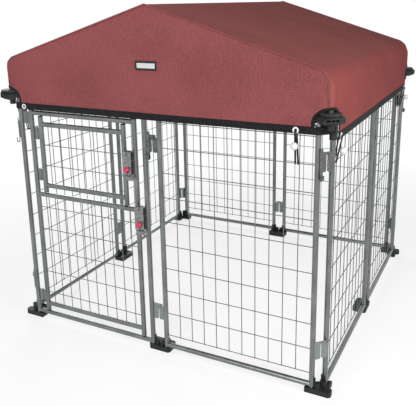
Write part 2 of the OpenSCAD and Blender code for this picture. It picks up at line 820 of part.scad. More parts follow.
// Bracket on the corner post of the side panel, with the socket for the roof bow
module corner_bracket() {
    low = house_z - socket_low;
    difference() {
        union() {
            translate([face, -face, house_z]) rotate([0, 0, -45]) {
                bracket_house();
                translate([-corner_gap / 2 - web_t / 2, tube_r + post_clear - corner_gap / 2, -web_low])
                    cube([web_t, corner_gap - tube_r - post_clear, web_h]);
            }
            translate([face, -post_out, house_z - sleeve_l]) cylinder(h = sleeve_l + cut, r = sleeve_r);
            translate([bow_x, -bow_x, low]) cylinder(h = socket_low + house_h + socket_up, r = socket_r);
        }
        translate([face, -post_out, house_z - sleeve_l - cut])
            cylinder(h = sleeve_l + cut, r = tube_r + post_clear);
        translate([face - rail_room, -post_out, house_z - sleeve_l - cut])
            cube([2 * rail_room, corner_set, sleeve_l]);
        translate([bow_x, -bow_x, low + socket_floor])
            cylinder(h = socket_low + house_h + socket_up, r = bow_d / 2 + socket_clear);
    }
}

// Leg, bend and slope of half a roof bow on the front right, the bend swelled by the given amount
module bow_path(d, swell, extra) {
    foot = house_z - socket_low + socket_floor + socket_clear - extra;
    bend_z = bow_eave_z - bow_tangent;
    turn = 90 - slope;
    translate([bow_x, -bow_x, foot]) cylinder(h = bend_z - foot + cut, d = d);
    translate([bow_x - bow_bend, -bow_x, bend_z]) {
        rotate([90, 0, 0]) rotate_extrude(angle = turn) translate([bow_bend, 0]) circle(d = d + swell);
        translate([bow_bend * cos(turn), 0, bow_bend * sin(turn)]) rotate([0, -turn, 0])
            translate([0, 0, -cut]) cylinder(h = bow_slope_l + cut + extra, d = d);
    }
}

// Half of a roof bow in one bent tube
module bow_half() {
    difference() {
        bow_path(bow_d, bend_swell, 0);
        bow_path(bow_d - 2 * bow_wall, -bend_swell, cut);
    }
}

module bow() {
    bow_half();
    mirror([1, 0, 0]) bow_half();
}

// Three-way connector that joins both bow halves and the ridge pole at the front
module ridge_connector() {
    turn = 90 - slope;
    translate([0, -bow_x, bow_ridge_z]) difference() {
        union() {
            for (a = [-turn, turn]) {
                rotate([0, 180 + a, 0]) cylinder(h = tee_l, r = tee_r);
            }
            rotate([-90, 0, 0]) translate([0, 0, -tee_hub]) cylinder(h = tee_hub + tee_l, r = tee_hub);
        }
        for (a = [-turn, turn]) {
            rotate([0, 180 + a, 0]) translate([0, 0, tee_core - socket_clear])
                cylinder(h = tee_l, d = bow_d + 2 * socket_clear);
        }
        rotate([-90, 0, 0]) translate([0, 0, tee_core - socket_clear])
            cylinder(h = tee_l, d = ridge_d + 2 * socket_clear);
    }
}

// Outline of the canopy seen from the front, set in by d, from the lower height up over the ridge
function eave_arc(d) =
    let (turn = 90 - slope, z = eave_z - eave_r * tan(turn / 2))
    [for (i = [0 : eave_steps])
        [canopy_x - eave_r + (eave_r - d) * cos(i * turn / eave_steps),
            z + (eave_r - d) * sin(i * turn / eave_steps)]];

function outline(d, low) =
    let (arc = eave_arc(d), n = len(arc))
    concat([[canopy_x - d, low]], arc, [[0, ridge_z - d / cos(slope)]],
        [for (i = [n - 1 : -1 : 0]) [-arc[i][0], arc[i][1]]], [[d - canopy_x, low]]);

// Arch across a corner, seen along the diagonal
function arch(w, low) =
    concat([[w, low]],
        [for (i = [0 : eave_steps])
            [w * cos(180 * i / eave_steps), arch_z - arch_w + w * sin(180 * i / eave_steps)]],
        [[-w, low]]);

module arch_block(w, low) {
    translate([canopy_x, -canopy_x, 0]) rotate([0, 0, -45]) translate([-w - hem_h, 0, 0])
        rotate([90, 0, 90]) linear_extrude(height = w + 2 * hem_h) polygon(arch(w, low));
}

// Holes for the grommet necks through one side's hem
module grommet_holes(z, right = tie_x) {
    for (x = [-tie_x, right]) {
        translate([x, -hem_x - cut, z + grommet_up]) rotate([-90, 0, 0])
            cylinder(h = 2 * (hem_t + cloth_t), d = grommet_bore + 2 * grommet_wall + 2 * socket_clear);
    }
}

module roof_sheet() {
    difference() {
        translate([0, canopy_x, 0]) rotate([90, 0, 0]) linear_extrude(height = 2 * canopy_x) difference() {
            polygon(outline(0, side_hem_z));
            polygon(outline(cloth_t, side_hem_z - cut));
        }
        at_corners() arch_block(arch_w, gable_hem_z + hem_h);
        for (k = [1, 3]) {
            on_side(k) grommet_holes(side_hem_z);
        }
    }
}

module gable_sheet(right) {
    difference() {
        translate([0, -canopy_x + cloth_t, 0]) rotate([90, 0, 0]) linear_extrude(height = cloth_t)
            polygon(outline(cloth_t + socket_clear, gable_hem_z));
        at_corners() arch_block(arch_w, gable_hem_z + hem_h);
        grommet_holes(gable_hem_z, right);
    }
}

// Square band around the canopy between two heights
module hem_ring(low, high) {
    inner = canopy_x + socket_clear;
    translate([0, 0, low]) linear_extrude(height = high - low) difference() {
        square(2 * hem_x, center = true);
        square(2 * inner, center = true);
    }
}

// Hem along all four sides with the binding round the corner cut-outs
module hem_band() {
    split = gable_hem_z + hem_h;
    along = canopy_x - arch_w * 2;
    difference() {
        union() {
            difference() {
                hem_ring(side_hem_z, side_hem_z + hem_h);
                for (k = [0, 2]) {
                    on_side(k) translate([-canopy_x, -hem_x - cut, side_hem_z - cut])
                        cube([2 * canopy_x, 2 * hem_t + cut, gable_hem_z - side_hem_z + cut]);
                }
            }
            difference() {
                hem_ring(gable_hem_z, split);
                for (k = [1, 3]) {
                    on_side(k) translate([-along, -hem_x - cut, side_hem_z + hem_h])
                        cube([2 * along, 2 * hem_t + cut, split]);
                }
            }
            intersection() {
                hem_ring(split - bind_w, arch_z + bind_w + cut);
                at_corners() difference() {
                    arch_block(arch_w + bind_w, split - 2 * bind_w);
                    arch_block(arch_w, split - 3 * bind_w);
                }
            }
        }
        for (k = [0 : 3]) {
            on_side(k) grommet_holes(k % 2 == 0 ? gable_hem_z : side_hem_z, k == 0 ? front_tie_x : tie_x);
        }
    }
}

// Piping over the front edge of the roof sheet
module piping() {
    low = arch_z + bind_w + cut;
    translate([0, piping_w - canopy_x, 0]) rotate([90, 0, 0]) linear_extrude(height = piping_w) difference() {
        polygon(outline(-piping_t, low));
        polygon(outline(-socket_clear, low - cut));
    }
}

module label() {
    translate([-label_w / 2, -canopy_x - socket_clear - label_t, label_z]) cube([label_w, label_t, label_h]);
}

// Flanged ring through the hem
module grommet(z) {
    inside = canopy_x - cloth_t - socket_clear;
    neck = grommet_bore + 2 * grommet_wall;
    translate([0, -hem_x - socket_clear, z + grommet_up]) rotate([-90, 0, 0]) difference() {
        union() {
            translate([0, 0, -grommet_t]) cylinder(h = grommet_t, d = grommet_d);
            translate([0, 0, -grommet_t]) cylinder(h = hem_x - inside + 2 * grommet_t, d = neck);
            translate([0, 0, hem_x - inside + socket_clear])
                cylinder(h = grommet_t, d = (grommet_d + neck) / 2);
        }
        translate([0, 0, -2 * grommet_t]) cylinder(h = hem_x - inside + 6 * grommet_t, d = grommet_bore);
    }
}

// Elastic loop round the hem at its grommet and round one cross wire, in the frame of its lower bend
module tie_loop(z) {
    dy = cord_top_y - face;
    dz = z + grommet_up - cord_top_r - tie_z;
    l = sqrt(dy * dy + dz * dz);
    lean = asin((cord_top_r - cord_low_r) / l);
    run = l * cos(lean);
    translate([0, -face, tie_z]) rotate([atan2(dy, dz), 0, 0]) rotate([0, 0, -90]) {
        rotate([90, 0, 0]) {
            rotate([0, 0, 180 + lean]) rotate_extrude(angle = 180 - 2 * lean)
                translate([cord_low_r, 0]) circle(d = cord_d);
            translate([0, l, 0]) rotate([0, 0, -lean]) rotate_extrude(angle = 180 + 2 * lean)
                translate([cord_top_r, 0]) circle(d = cord_d);
        }
        for (s = [0, 1]) {
            mirror([s, 0, 0]) translate([cord_low_r * cos(lean), 0, -cord_low_r * sin(lean)])
                rotate([0, lean, 0]) translate([0, 0, -cord_lap])
                    cylinder(h = run + 2 * cord_lap, d = cord_d - cord_thin);
        }
    }
}

// Ball that holds the loop, resting on the outside of its two cords
module tie_ball(z) {
    dy = cord_top_y - face;
    dz = z + grommet_up - cord_top_r - tie_z;
    along = z + grommet_up - ball_drop - tie_z;
    off = cord_top_r + cord_r + ball_d / 2 - cord_ease / 2;
    translate([0, -face, tie_z]) rotate([atan2(dy, dz), 0, 0]) translate([0, -off, along]) difference() {
        sphere(d = ball_d);
        translate([0, 0, -ball_d / 2]) cylinder(h = ball_d / 4, d = cord_pair + cord_d);
    }
}

// Places a tie at both ends of three sides and at the right end of the front
module at_ties() {
    for (k = [1, 3]) {
        for (s = [-1, 1]) {
            on_side(k) translate([s * tie_x, 0, 0]) children(0);
        }
    }
    for (s = [-1, 1]) {
        on_side(2) translate([s * tie_x, 0, 0]) children(1);
    }
    translate([front_tie_x, 0, 0]) children(1);
}

module tie_pair(z) {
    for (s = [-1, 1]) {
        translate([s * cord_pair / 2, 0, 0]) tie_loop(z);
    }
}

steel = [0.56, 0.59, 0.58];
zinc = [0.66, 0.67, 0.68];
black = [0.09, 0.09, 0.10];
maroon = [0.52, 0.27, 0.27];
red = [0.75, 0.10, 0.09];
white = [0.90, 0.90, 0.88];

module door_panel_frame() color(steel) panel_frame(-post_out);
module front_panel_frame() color(steel) panel_frame(post_in);
module right_front_frame() color(steel) on_side(1) panel_frame(-post_out);
module right_back_frame() color(steel) on_side(1) panel_frame(post_in);
module back_right_frame() color(steel) on_side(2) panel_frame(-post_out);
module back_left_frame() color(steel) on_side(2) panel_frame(post_in);
module left_back_frame() color(steel) on_side(3) panel_frame(-post_out);
module left_front_frame() color(steel) on_side(3) panel_frame(post_in);
module front_panel_mesh() color(steel) panel_mesh(post_in);
module right_front_mesh() color(steel) on_side(1) panel_mesh(-post_out);
module right_back_mesh() color(steel) on_side(1) panel_mesh(post_in);
module back_right_mesh() color(steel) on_side(2) panel_mesh(-post_out);
module back_left_mesh() color(steel) on_side(2) panel_mesh(post_in);
module left_back_mesh() color(steel) on_side(3) panel_mesh(-post_out);
module left_front_mesh() color(steel) on_side(3) panel_mesh(post_in);

module post_plugs() color(black) {
    for (k = [0 : 3]) {
        for (x = [-post_out, -post_in, post_in, post_out]) {
            on_side(k) translate([x, -face, post_top]) plug();
        }
    }
}

module gate_frame() color(steel) gate_tubes();
module gate_mesh() color(steel) gate_wires();
module gate_plugs() color(black) stile_plugs(gate_left, gate_right, gate_low, gate_high);
module gate_post_leaves() color(steel) at_gate_hinges() fixed_leaf(gate_reach);
module gate_leaves() color(steel) at_gate_hinges() moving_leaf(gate_reach);
module gate_hinge_pins() color(zinc) at_gate_hinges() hinge_pin();
module hatch_frame() color(steel) hatch_tubes();
module hatch_mesh() color(steel) hatch_wires();
module hatch_plugs() color(black) stile_plugs(hatch_left, hatch_right, hatch_low, hatch_high);
module hatch_gate_leaves() color(steel) at_hatch_hinges() fixed_leaf(hatch_reach);
module hatch_leaves() color(steel) at_hatch_hinges() moving_leaf(hatch_reach);
module hatch_hinge_pins() color(zinc) at_hatch_hinges() hinge_pin();
module gate_latch_case() color(zinc) at_gate_latch() latch_case(gate_bolt_x - gate_right);
module gate_latch_bolt() color(zinc) at_gate_latch() latch_bolt();
module gate_latch_knob() color(red) at_gate_latch() latch_knob();
module gate_latch_strike() color(zinc) at_gate_latch() latch_strike();
module gate_latch_screw() color(zinc) at_gate_latch() latch_screw();
module hatch_latch_case() color(zinc) at_hatch_latch() latch_case(hatch_bolt_x - hatch_right);
module hatch_latch_bolt() color(zinc) at_hatch_latch() latch_bolt();
module hatch_latch_knob() color(red) at_hatch_latch() latch_knob();
module hatch_latch_strike() color(zinc) at_hatch_latch() latch_strike();
module hatch_latch_screw() color(zinc) at_hatch_latch() latch_screw();

module connector_staples() color(steel) {
    for (z = [foot_pad + lower_z, foot_pad + upper_z]) {
        at_pairs(z) {
            plate(mid_reach, staple_h);
            translate([0, -plate_out, 0]) plate(corner_gap / 2, staple_h);
        }
    }
}

module connector_hooks() color(steel) {
    for (z = [foot_pad + lower_z, foot_pad + upper_z]) {
        at_pairs(z) {
            hook(mid_reach);
            translate([0, -plate_out, 0]) hook(corner_gap / 2);
        }
    }
}

module connector_straps() color(zinc) {
    back = -staple_t / 2 - weld_gap;
    at_pairs(foot_pad + upper_z) {
        strap(weld_gap - pair_gap / 2 + sqrt(tube_r * tube_r - back * back), back, strap_w);
        strap(-corner_gap / 2, back - plate_out, corner_strap_w);
    }
}

module mid_feet() color(black) {
    for (k = [0 : 3]) {
        on_side(k) translate([0, -face, 0]) mid_foot();
    }
}

module corner_feet() color(black) at_corners() translate([face, -face, 0]) corner_foot();
module corner_brackets() color(black) at_corners() corner_bracket();
module front_bow() color(steel) bow();
module back_bow() color(steel) mirror([0, 1, 0]) bow();

module ridge_connectors() color(black) {
    ridge_connector();
    mirror([0, 1, 0]) ridge_connector();
}

module ridge_pole() color(steel) {
    l = 2 * (bow_x - tee_core);
    translate([0, -l / 2, bow_ridge_z]) rotate([-90, 0, 0]) tube(l, ridge_d, bow_wall);
}

module canopy_roof() color(maroon) roof_sheet();
module canopy_front_gable() color(maroon) gable_sheet(front_tie_x);
module canopy_back_gable() color(maroon) mirror([0, 1, 0]) gable_sheet(tie_x);
module canopy_hem() color(black) hem_band();

module gable_piping() color(maroon) {
    piping();
    mirror([0, 1, 0]) piping();
}

module label_patch() color(black) label();

module grommets() color(white) {
    for (k = [0 : 3]) {
        for (x = [-tie_x, k == 0 ? front_tie_x : tie_x]) {
            on_side(k) translate([x, 0, 0]) grommet(k % 2 == 0 ? gable_hem_z : side_hem_z);
        }
    }
}

module tie_cords() color(black) {
    at_ties() {
        tie_pair(side_hem_z);
        tie_pair(gable_hem_z);
    }
}

module tie_balls() color(white) {
    at_ties() {
        tie_ball(side_hem_z);
        tie_ball(gable_hem_z);
    }
}

door_panel_frame();
front_panel_frame();
right_front_frame();
right_back_frame();
back_right_frame();
back_left_frame();
left_back_frame();
left_front_frame();
front_panel_mesh();
right_front_mesh();
right_back_mesh();
back_right_mesh();
back_left_mesh();
left_back_mesh();
left_front_mesh();
post_plugs();
gate_frame();
gate_mesh();
gate_plugs();
gate_post_leaves();
gate_leaves();
gate_hinge_pins();
hatch_frame();
hatch_mesh();
hatch_plugs();
hatch_gate_leaves();
hatch_leaves();
hatch_hinge_pins();
gate_latch_case();
gate_latch_bolt();
gate_latch_knob();
gate_latch_strike();
gate_latch_screw();
hatch_latch_case();
hatch_latch_bolt();
hatch_latch_knob();
hatch_latch_strike();
hatch_latch_screw();
connector_staples();
connector_hooks();
connector_straps();
mid_feet();
corner_feet();
corner_brackets();
front_bow();
back_bow();
ridge_connectors();
ridge_pole();
canopy_roof();
canopy_front_gable();
canopy_back_gable();
canopy_hem();
gable_piping();
label_patch();
grommets();
tie_cords();
tie_balls();
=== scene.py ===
import json
import math
import bpy
import bmesh
from mathutils import Matrix, Vector, noise


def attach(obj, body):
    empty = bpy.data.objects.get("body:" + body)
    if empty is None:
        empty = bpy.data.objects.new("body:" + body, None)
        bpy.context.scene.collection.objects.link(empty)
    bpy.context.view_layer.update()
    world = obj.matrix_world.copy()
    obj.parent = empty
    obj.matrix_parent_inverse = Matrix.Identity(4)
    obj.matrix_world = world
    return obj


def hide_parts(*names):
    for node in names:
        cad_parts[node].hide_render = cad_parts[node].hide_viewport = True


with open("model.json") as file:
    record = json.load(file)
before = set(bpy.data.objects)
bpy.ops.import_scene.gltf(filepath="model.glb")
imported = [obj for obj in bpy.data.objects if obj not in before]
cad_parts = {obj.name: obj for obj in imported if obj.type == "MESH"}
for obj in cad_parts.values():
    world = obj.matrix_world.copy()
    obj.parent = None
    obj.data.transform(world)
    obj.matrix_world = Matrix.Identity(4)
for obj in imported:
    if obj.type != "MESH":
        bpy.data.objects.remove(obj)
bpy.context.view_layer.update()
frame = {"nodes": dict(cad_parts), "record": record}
nodes = frame["nodes"]
print("frame loaded:", len(nodes), "nodes")

# camera, from a fit to the posts, rails and canopy edges of the photograph
cameraSet = {
    "focal": 591.38, "place": (1.13108, -2.37414, 1.31685), "yaw": 2.0285, "pitch": 0.2468,
    "roll": -0.0124, "centre": (222.62, 149.22), "picture": (416, 406), "sensor": 36.0, "far": 60,
}


def makeCamera(c):
    yaw, pitch, roll = c["yaw"], c["pitch"], c["roll"]
    forward = Vector((math.cos(yaw) * math.cos(pitch), math.sin(yaw) * math.cos(pitch), -math.sin(pitch)))
    right = Vector((math.sin(yaw), -math.cos(yaw), 0))
    up = right.cross(forward)
    turnedRight = math.cos(roll) * right + math.sin(roll) * up
    turnedUp = -math.sin(roll) * right + math.cos(roll) * up
    wide, tall = c["picture"]
    data = bpy.data.cameras.new("photoCamera")
    data.sensor_width = c["sensor"]
    data.lens = c["focal"] * c["sensor"] / wide
    data.shift_x = (wide / 2 - c["centre"][0]) / wide
    data.shift_y = (c["centre"][1] - tall / 2) / wide
    data.clip_end = c["far"]
    cam = bpy.data.objects.new("photoCamera", data)
    bpy.context.scene.collection.objects.link(cam)
    axes = Matrix((turnedRight, turnedUp, -forward)).transposed().to_4x4()
    cam.matrix_world = Matrix.Translation(c["place"]) @ axes
    bpy.context.scene.camera = cam


makeCamera(cameraSet)
bpy.context.scene.view_settings.view_transform = "Standard"
print("camera set")


# small helpers for node trees
def newMaterial(name):
    mat = bpy.data.materials.new(name)
    mat.use_nodes = True
    tree = mat.node_tree
    shader = next(n for n in tree.nodes if n.type == "BSDF_PRINCIPLED")
    return mat, tree, shader


# a socket is linked, anything else becomes the input's own value
def feed(tree, target, source):
    if isinstance(source, bpy.types.NodeSocket):
        tree.links.new(source, target)
    else:
        target.default_value = source


def put(tree, kind, **values):
    n = tree.nodes.new(kind)
    for key, value in values.items():
        if key in n.inputs:
            feed(tree, n.inputs[key], value)
        else:
            setattr(n, key, value)
    return n


def dress(tree, shader, values):
    for name, value in values.items():
        feed(tree, shader.inputs[name], value)


def grey(level):
    return (level,) * 3


def ramp(tree, source, stops):
    n = put(tree, "ShaderNodeValToRGB", Fac=source)
    line = n.color_ramp
    while len(line.elements) < len(stops):
        line.elements.new(0.5)
    for e, (at, colour) in zip(line.elements, stops):
        e.position = at
        e.color = (*colour, 1)
    return n.outputs["Color"]


def objectSpace(tree):
    return tree.nodes.new("ShaderNodeTexCoord").outputs["Object"]


def clothSpace(tree):
    return put(tree, "ShaderNodeUVMap", uv_map="cloth").outputs["UV"]


def stretched(tree, space, scale):
    return put(tree, "ShaderNodeMapping", Vector=space, Scale=scale).outputs["Vector"]


def apart(tree, space, axis):
    return put(tree, "ShaderNodeSeparateXYZ", Vector=space).outputs[axis]


def grainy(tree, space, scale, detail, rough=0.55):
    n = put(tree, "ShaderNodeTexNoise", Vector=space, Scale=scale, Detail=detail, Roughness=rough)
    return n.outputs["Fac"]


def bands(tree, space, axis, scale, loose):
    n = put(tree, "ShaderNodeTexWave", wave_type="BANDS", bands_direction=axis,
            Vector=space, Scale=scale, Distortion=loose)
    return n.outputs["Fac"]


def maths(tree, operation, *sources):
    n = put(tree, "ShaderNodeMath", operation=operation)
    for target, source in zip(n.inputs, sources):
        feed(tree, target, source)
    return n.outputs["Value"]


def between(tree, source, fromRange, toRange):
    ends = zip(("From Min", "From Max", "To Min", "To Max"), (*fromRange, *toRange))
    return put(tree, "ShaderNodeMapRange", Value=source, **dict(ends)).outputs["Result"]


def mixed(tree, factor, a, b, kind="RGBA", blend="MIX"):
    n = put(tree, "ShaderNodeMix", data_type=kind, blend_type=blend, Factor=factor, A=a, B=b)
    return n.outputs["Result"]


def multiplied(tree, a, b):
    return mixed(tree, 1, a, b, blend="MULTIPLY")


def bumped(tree, height, strength, distance, under=None):
    n = put(tree, "ShaderNodeBump", Height=height, Strength=strength, Distance=distance)
    if under:
        feed(tree, n.inputs["Normal"], under)
    return n.outputs["Normal"]


# grey powder coat over steel, with fine orange peel, dull patches and upright streaks
coat = {
    "patches": (14, 4), "steps": (0.30, 0.52, 0.74), "shinier": 0.08, "duller": 0.10,
    "peel": (900, 2), "peelBump": (0.22, 0.0004),
    "streakStretch": (60, 60, 3), "streaks": (4, 3), "worn": [(0.35, grey(0.86)), (0.65, grey(1.04))],
}
tubeTone = {"shades": ((0.165, 0.182, 0.180), (0.205, 0.224, 0.222), (0.25, 0.272, 0.268)),
            "rough": 0.24, "metal": 0.85}
wireTone = {"shades": ((0.115, 0.130, 0.130), (0.155, 0.172, 0.172), (0.20, 0.22, 0.22)),
            "rough": 0.46, "metal": 0.3}


def coatedSteel(name, tone):
    mat, tree, shader = newMaterial(name)
    space = objectSpace(tree)
    patches = grainy(tree, space, *coat["patches"])
    colour = ramp(tree, patches, list(zip(coat["steps"], tone["shades"])))
    streaks = grainy(tree, stretched(tree, space, coat["streakStretch"]), *coat["streaks"])
    peel = grainy(tree, space, *coat["peel"])
    rough = (tone["rough"] - coat["shinier"], tone["rough"] + coat["duller"])
    dress(tree, shader, {
        "Base Color": multiplied(tree, colour, ramp(tree, streaks, coat["worn"])),
        "Roughness": between(tree, patches, (0, 1), rough),
        "Metallic": tone["metal"],
        "Normal": bumped(tree, peel, *coat["peelBump"]),
    })
    return mat


# zinc plate with a faint spangle and scuffs
zinc = {
    "spangle": 160, "scuffs": (60, 5, 0.7), "rough": (0.3, 0.62), "metal": 0.75, "bump": (0.15, 0.0005),
    "shades": [(0.1, (0.17, 0.18, 0.178)), (0.6, (0.25, 0.26, 0.255)), (1, (0.35, 0.36, 0.35))],
}


def zincPlate(name):
    mat, tree, shader = newMaterial(name)
    space = objectSpace(tree)
    cells = put(tree, "ShaderNodeTexVoronoi", Vector=space, Scale=zinc["spangle"])
    scuffs = grainy(tree, space, *zinc["scuffs"])
    dress(tree, shader, {
        "Base Color": ramp(tree, cells.outputs["Color"], zinc["shades"]),
        "Roughness": between(tree, scuffs, (0, 1), zinc["rough"]),
        "Metallic": zinc["metal"],
        "Normal": bumped(tree, scuffs, *zinc["bump"]),
    })
    return mat


# dark hammered paint of the panel connectors, speckled with bare spots, with painted light making it
# brighter low down
hammer = {
    "spots": (420, 3, 0.6), "rough": (0.62, 0.40), "metal": 0.35, "bump": (0.3, 0.0006),
    # painted light: the heights over which the painted brightening fades out
    "paintedLightTo": (0.35, 0.60),
    "shades": [(0.40, (0.045, 0.049, 0.047)), (0.52, (0.108, 0.115, 0.112)), (0.66, (0.30, 0.31, 0.30))],
    # painted light: the brighter colours painted on the lower part
    "paintedLight": [(0.40, (0.19, 0.215, 0.208)), (0.62, (0.33, 0.365, 0.355))],
}


def hammeredPaint(name):
    mat, tree, shader = newMaterial(name)
    space = objectSpace(tree)
    spots = grainy(tree, space, *hammer["spots"])
    # painted light: the paint is painted brighter towards the bottom
    height = between(tree, apart(tree, space, "Z"), hammer["paintedLightTo"], (0, 1))
    paintedLight = ramp(tree, spots, hammer["paintedLight"])
    dress(tree, shader, {
        "Base Color": mixed(tree, height, paintedLight, ramp(tree, spots, hammer["shades"])),
        "Roughness": between(tree, spots, (0, 1), hammer["rough"]),
        "Metallic": hammer["metal"],
        "Normal": bumped(tree, spots, *hammer["bump"]),
    })
    return mat


# moulded plastic with a fine grained skin and a little dust
moulded = {"dust": (22, 5, 0.65), "steps": (0.35, 0.75), "shinier": 0.07, "duller": 0.12,
           "skinDetail": 2, "skinDepth": 0.0006, "coatRough": 0.2}
blackTone = {"shades": ((0.010, 0.0118, 0.0126), (0.026, 0.030, 0.031)), "grain": 1300, "bump": 0.25,
             "rough": 0.5, "specular": 0.3, "coat": 0}
redTone = {"shades": ((0.70, 0.022, 0.082), (0.78, 0.040, 0.105)), "grain": 700, "bump": 0.08,
           "rough": 0.34, "specular": 0.5, "coat": 0.4}
whiteTone = {"shades": ((0.90, 0.90, 0.89), (0.84, 0.84, 0.83)), "grain": 800, "bump": 0.1,
             "rough": 0.4, "specular": 0.5, "coat": 0}


def mouldedPlastic(name, tone):
    mat, tree, shader = newMaterial(name)
    space = objectSpace(tree)
    dust = grainy(tree, space, *moulded["dust"])
    skin = grainy(tree, space, tone["grain"], moulded["skinDetail"])
    rough = (tone["rough"] - moulded["shinier"], tone["rough"] + moulded["duller"])
    dress(tree, shader, {
        "Base Color": ramp(tree, dust, list(zip(moulded["steps"], tone["shades"]))),
        "Roughness": between(tree, dust, (0, 1), rough),
        "Specular IOR Level": tone["specular"],
        "Coat Weight": tone["coat"],
        "Coat Roughness": moulded["coatRough"],
        "Normal": bumped(tree, skin, tone["bump"], moulded["skinDepth"]),
    })
    return mat


# coated woven cloth: a basket weave from the cloth's own measure, slubbed yarn, streaks of warp and weft;
# the roof and side walls carry painted shade, tinted warmer and darker than the gables
cloth = {
    "yarns": 95, "loose": 0.6, "slubStretch": (90, 420, 1), "slubs": (1.6, 3, 0.7),
    "steps": (0.30, 0.52, 0.74),
    "shades": ((0.200, 0.046, 0.046), (0.325, 0.093, 0.094), (0.475, 0.175, 0.176)),
    "streakStretch": ((210, 26, 1), (26, 210, 1)), "streaks": (1, 4, 0.75), "streakShare": 0.6,
    "clouds": (3.2, 4),
    "fade": [(0.37, grey(0.76)), (0.63, (1.20, 1.19, 1.19))],
    # painted shade: the tint of the roof and side walls against that of the gables
    "seam": (0.650, 0.654), "paintedShadeTints": [(0, (1, 0.87, 0.82)), (1, (1, 1.02, 1.03))],
    "rough": 0.9, "specular": 0.06, "sheen": 0.03, "sheenRough": 0.5,
    "slubBump": (0.25, 0.0008), "weaveBump": (0.5, 0.0006),
}


def canopyCloth(name, c):
    mat, tree, shader = newMaterial(name)
    uv = clothSpace(tree)
    space = objectSpace(tree)
    weave = maths(tree, "MULTIPLY", *(bands(tree, uv, axis, c["yarns"], c["loose"]) for axis in "XY"))
    slubs = grainy(tree, stretched(tree, uv, c["slubStretch"]), *c["slubs"])
    yarn = ramp(tree, slubs, list(zip(c["steps"], c["shades"])))
    streaks = [grainy(tree, stretched(tree, uv, s), *c["streaks"]) for s in c["streakStretch"]]
    mottle = maths(tree, "ADD", *(maths(tree, "MULTIPLY", s, 1 / len(streaks)) for s in streaks))
    clouds = grainy(tree, space, *c["clouds"])
    fade = ramp(tree, mixed(tree, c["streakShare"], clouds, mottle, "FLOAT"), c["fade"])
    fromMiddle = maths(tree, "ABSOLUTE", apart(tree, space, "Y"))
    # painted shade: the roof and side walls are tinted warmer and darker than the gables
    paintedShadeTint = ramp(tree, between(tree, fromMiddle, c["seam"], (0, 1)), c["paintedShadeTints"])
    coarse = bumped(tree, slubs, *c["slubBump"])
    dress(tree, shader, {
        "Base Color": multiplied(tree, multiplied(tree, yarn, fade), paintedShadeTint),
        "Roughness": c["rough"],
        "Specular IOR Level": c["specular"],
        "Sheen Weight": c["sheen"],
        "Sheen Roughness": c["sheenRough"],
        "Normal": bumped(tree, weave, *c["weaveBump"], coarse),
    })
    return mat


# ribbed webbing: ribs run along the tape, with a fine fuzz
tape = {"loose": 0.3, "fuzz": (260, 3), "steps": (0.3, 0.75), "rough": 0.85, "specular": 0.15,
        "sheen": 0.04, "fuzzBump": (0.3, 0.0006), "ribBump": (0.6, 0.0007)}
webTone = {"ribs": 110, "shades": ((0.006, 0.0065, 0.0068), (0.029, 0.030, 0.031))}
cordTone = {"ribs": 240, "shades": ((0.008, 0.008, 0.009), (0.040, 0.040, 0.042))}


def ribbedTape(name, tone):
    mat, tree, shader = newMaterial(name)
    ribs = bands(tree, clothSpace(tree), "X", tone["ribs"], tape["loose"])
    fuzz = grainy(tree, objectSpace(tree), *tape["fuzz"])
    dress(tree, shader, {
        "Base Color": ramp(tree, fuzz, list(zip(tape["steps"], tone["shades"]))),
        "Roughness": tape["rough"],
        "Specular IOR Level": tape["specular"],
        "Sheen Weight": tape["sheen"],
        "Normal": bumped(tree, ribs, *tape["ribBump"], bumped(tree, fuzz, *tape["fuzzBump"])),
    })
    return mat


finishes = {
    "coated_tube": coatedSteel("coatedTube", tubeTone),
    "mesh_wire": coatedSteel("coatedWire", wireTone),
    "zinc_steel": zincPlate("zincPlate"),
    "black_plastic": mouldedPlastic("blackPlastic", blackTone),
    "red_plastic": mouldedPlastic("redPlastic", redTone),
    "white_plastic": mouldedPlastic("whitePlastic", whiteTone),
    "canopy_fabric": canopyCloth("canopyCloth", cloth),
    "black_webbing": ribbedTape("blackTape", webTone),
    "elastic_cord": ribbedTape("elasticCord", cordTone),
}
for part in frame["record"]["subparts"]:
    mesh = nodes[part["node"]].data
    mesh.materials.clear()
    mesh.materials.append(finishes[part["material_slot"]])
hammered = hammeredPaint("hammeredPaint")
for name in ("connector_staples", "connector_hooks", "connector_straps",
             "gate_latch_screw", "hatch_latch_screw"):
    nodes[name].data.materials[0] = hammered
print("finishes on the frame:", len(finishes) + 1)


class Shell:  # gathers vertices, faces and cloth measures for one piece
    def __init__(self):
        self.verts, self.faces, self.uvs, self.corners = [], [], [], []

    def grid(self, rows, uvRows, flip=False, closeAcross=False):
        start = len(self.verts)
        wide = len(rows[0])
        for row, uvRow in zip(rows, uvRows):
            self.verts.extend(row)
            self.uvs.extend(uvRow)
        for r in range(len(rows) - 1):
            for c in range(wide if closeAcross else wide - 1):
                a = start + r * wide + c
                b = start + r * wide + (c + 1) % wide
                face = (a, b, b + wide, a + wide)
                self.addFace(face[::-1] if flip else face)
        return start

    def addFace(self, face):
        self.faces.append(face)
        self.corners.append([self.uvs[v] for v in face])

    def cap(self, first, count, flip=False):
        ring = tuple(range(first, first + count))
        self.addFace(ring[::-1] if flip else ring)

    def make(self, name, mat, smooth=True):
        mesh = bpy.data.meshes.new(name)
        mesh.from_pydata([tuple(v) for v in self.verts], [], self.faces)
        layer = mesh.uv_layers.new(name="cloth")
        for p, measures in zip(mesh.polygons, self.corners):
            p.use_smooth = smooth
            for loop, uv in zip(p.loop_indices, measures):
                layer.data[loop].uv = uv
        mesh.materials.append(mat)
        obj = bpy.data.objects.new(name, mesh)
        bpy.context.scene.collection.objects.link(obj)
        return obj


